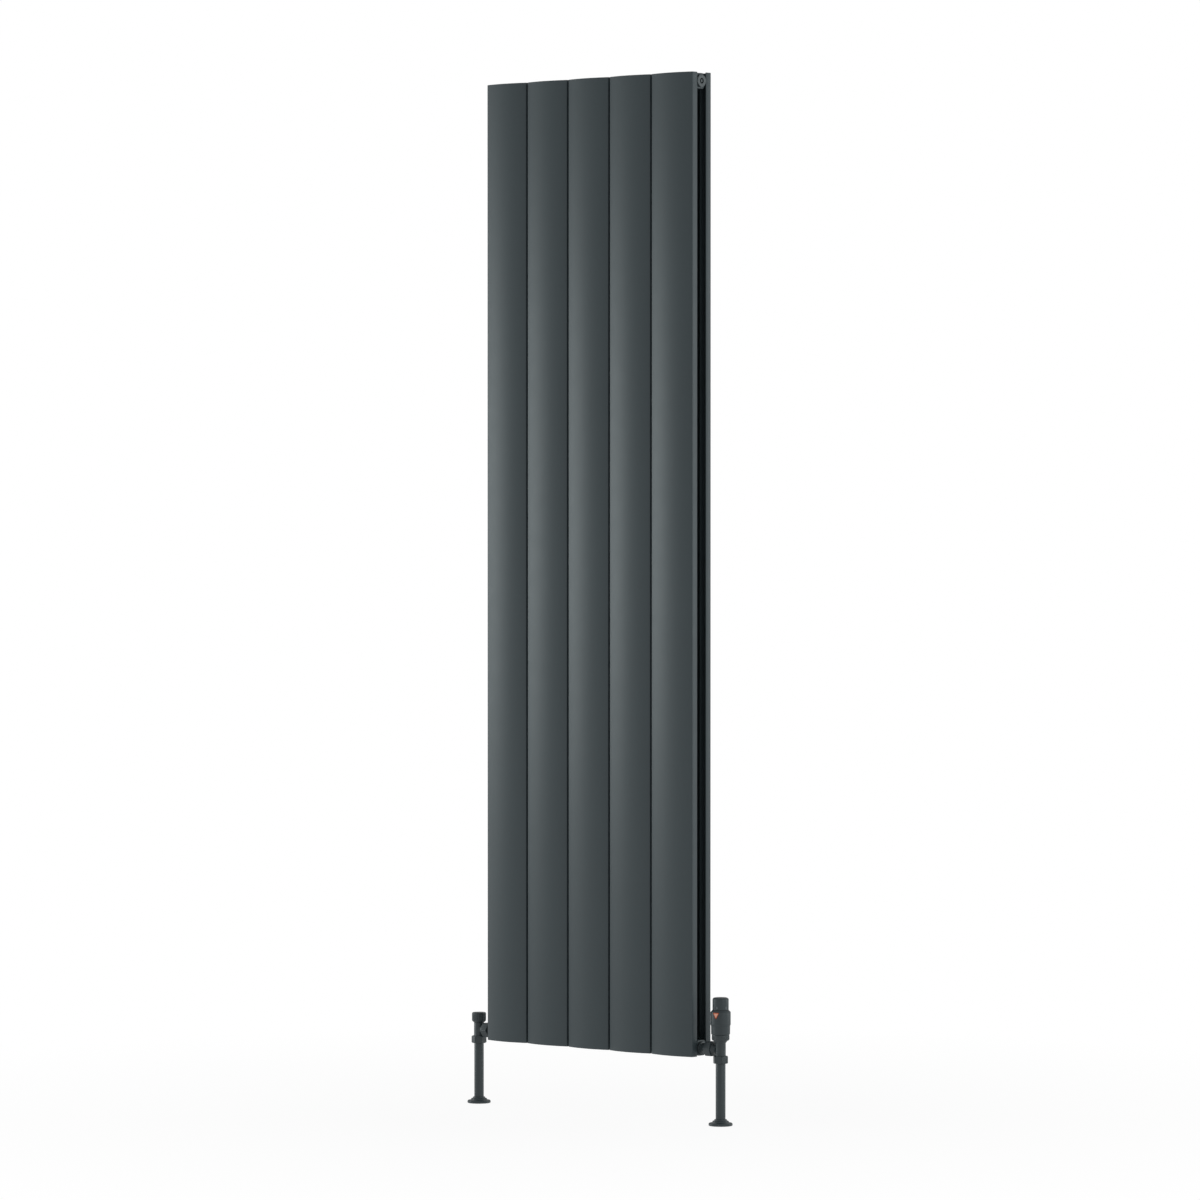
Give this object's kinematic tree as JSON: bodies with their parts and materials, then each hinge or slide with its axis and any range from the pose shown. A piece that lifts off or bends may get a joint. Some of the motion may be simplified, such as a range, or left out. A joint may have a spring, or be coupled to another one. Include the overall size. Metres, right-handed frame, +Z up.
{
  "type": "radiator",
  "caption": "Tall double-panel aluminium radiator of bowed sections, with angled thermostatic and lockshield valves, pipe sleeves, floor collars and wall brackets.",
  "frame": {"origin": "middle of the rectangle of the four wall fixing holes, on the wall's face, at the radiator's mid-height and mid-width", "axes": "+X to the right as seen from the room (thermostatic valve side), +Y into the wall, +Z up; the front faces -Y"},
  "size_m": [0.6532, 0.0953, 1.924],
  "materials": {
    "panel_paint": "satin anthracite powder coat on extruded aluminium",
    "header_paint": "satin anthracite powder coat on aluminium tube",
    "valve_paint": "satin anthracite coat on brass",
    "sleeve_paint": "satin anthracite coat on drawn tube",
    "head_plastic": "fine-grained anthracite moulding",
    "knob_plastic": "fine-grained anthracite moulding",
    "pointer_copper": "copper lacquer inlay",
    "brass": "turned brass",
    "plain_aluminium": "mill finish",
    "zinc_steel": "bright zinc plate",
    "bracket_paint": "anthracite powder coat on pressed steel",
    "spring_steel": "drawn wire",
    "seal_rubber": "moulded",
    "pad_plastic": "moulded",
    "sensor_shell": "drawn capsule"
  },
  "bodies": {
    "radiator": {"front_section_1": "panel_paint", "back_section_1": "panel_paint", "front_section_2": "panel_paint", "back_section_2": "panel_paint", "front_section_3": "panel_paint", "back_section_3": "panel_paint", "front_section_4": "panel_paint", "back_section_4": "panel_paint", "front_section_5": "panel_paint", "back_section_5": "panel_paint", "top_left_wall_plate": "bracket_paint", "top_left_hook_arm": "bracket_paint", "top_right_wall_plate": "bracket_paint", "top_right_hook_arm": "bracket_paint", "bottom_left_wall_plate": "bracket_paint", "bottom_left_hook_arm": "bracket_paint", "bottom_right_wall_plate": "bracket_paint", "bottom_right_hook_arm": "bracket_paint", "top_header": "header_paint", "bottom_header": "header_paint", "top_header_bosses": "header_paint", "bottom_header_bosses": "header_paint", "channel_plugs": "header_paint", "section_nipples": "plain_aluminium", "nipple_gaskets": "seal_rubber", "flow_baffle": "plain_aluminium", "blanking_plug": "valve_paint", "air_vent_plug": "valve_paint", "port_seals": "seal_rubber", "bracket_bolts": "zinc_steel", "bracket_nuts": "zinc_steel", "hook_pads": "pad_plastic", "valve_tails": "valve_paint", "union_nuts": "valve_paint", "compression_olives": "brass", "compression_nuts": "valve_paint", "lockshield_body": "valve_paint", "lockshield_headwork": "brass", "trv_body": "valve_paint", "trv_insert": "brass", "trv_spring_seat": "brass", "trv_spring": "spring_steel", "trv_ring_nut": "valve_paint", "trv_head_body": "head_plastic", "trv_pointer": "pointer_copper", "gland_seals": "seal_rubber", "left_pipe_sleeve": "sleeve_paint", "right_pipe_sleeve": "sleeve_paint"},
    "temperature_knob": {"trv_knob": "knob_plastic"},
    "sensor": {"trv_sensor": "sensor_shell"},
    "valve_pin": {"trv_pin": "zinc_steel", "trv_seat_washer": "seal_rubber"},
    "lockshield_spindle": {"lockshield_spindle": "brass"},
    "lockshield_plug": {"lockshield_plug": "brass", "lockshield_seat_washer": "seal_rubber"},
    "lockshield_cap": {"lockshield_cap": "knob_plastic"},
    "air_vent_screw": {"air_vent_screw": "valve_paint"},
    "left_floor_collar": {"left_floor_collar": "sleeve_paint"},
    "right_floor_collar": {"right_floor_collar": "sleeve_paint"}
  },
  "joints": [
    {"name": "temperature_knob_turn", "type": "hinge", "parent": "radiator", "child": "temperature_knob", "pos_m": [0.3046, -0.06175, -0.8045], "axis": [0, 0, 1], "range_deg": [-140, 140]},
    {"name": "sensor_slide", "type": "slide", "parent": "radiator", "child": "sensor", "axis": [0, 0, 1], "range_m": [-0.00139, 0.00139]},
    {"name": "valve_pin_slide", "type": "slide", "parent": "radiator", "child": "valve_pin", "axis": [0, 0, 1], "range_m": [-0.0014, 0.0014], "deforming": ["trv_spring"]},
    {"name": "lockshield_spindle_turn", "type": "hinge", "parent": "radiator", "child": "lockshield_spindle", "pos_m": [-0.3046, -0.06175, -0.8745], "axis": [0, 0, 1], "range_deg": [-360, 720]},
    {"name": "lockshield_plug_slide", "type": "slide", "parent": "radiator", "child": "lockshield_plug", "axis": [0, 0, 1], "range_m": [-0.00074, 0.00149]},
    {"name": "lockshield_cap_pull", "type": "slide", "parent": "radiator", "child": "lockshield_cap", "axis": [0, 0, 1], "range_m": [0, 0.035]},
    {"name": "air_vent_screw_turn", "type": "hinge", "parent": "radiator", "child": "air_vent_screw", "pos_m": [0.2545, -0.06175, 0.8845], "axis": [1, 0, 0], "range_deg": [0, 540]},
    {"name": "left_floor_collar_lift", "type": "slide", "parent": "radiator", "child": "left_floor_collar", "axis": [0, 0, 1], "range_m": [0, 0.09]},
    {"name": "right_floor_collar_lift", "type": "slide", "parent": "radiator", "child": "right_floor_collar", "axis": [0, 0, 1], "range_m": [0, 0.09]}
  ],
  "couplings": [
    {"joint": "temperature_knob_turn", "follows": "sensor_slide", "rad_per_m": 1754.4},
    {"joint": "valve_pin_slide", "follows": "sensor_slide", "ratio": 1},
    {"joint": "lockshield_spindle_turn", "follows": "lockshield_plug_slide", "rad_per_m": 8403.4}
  ]
}
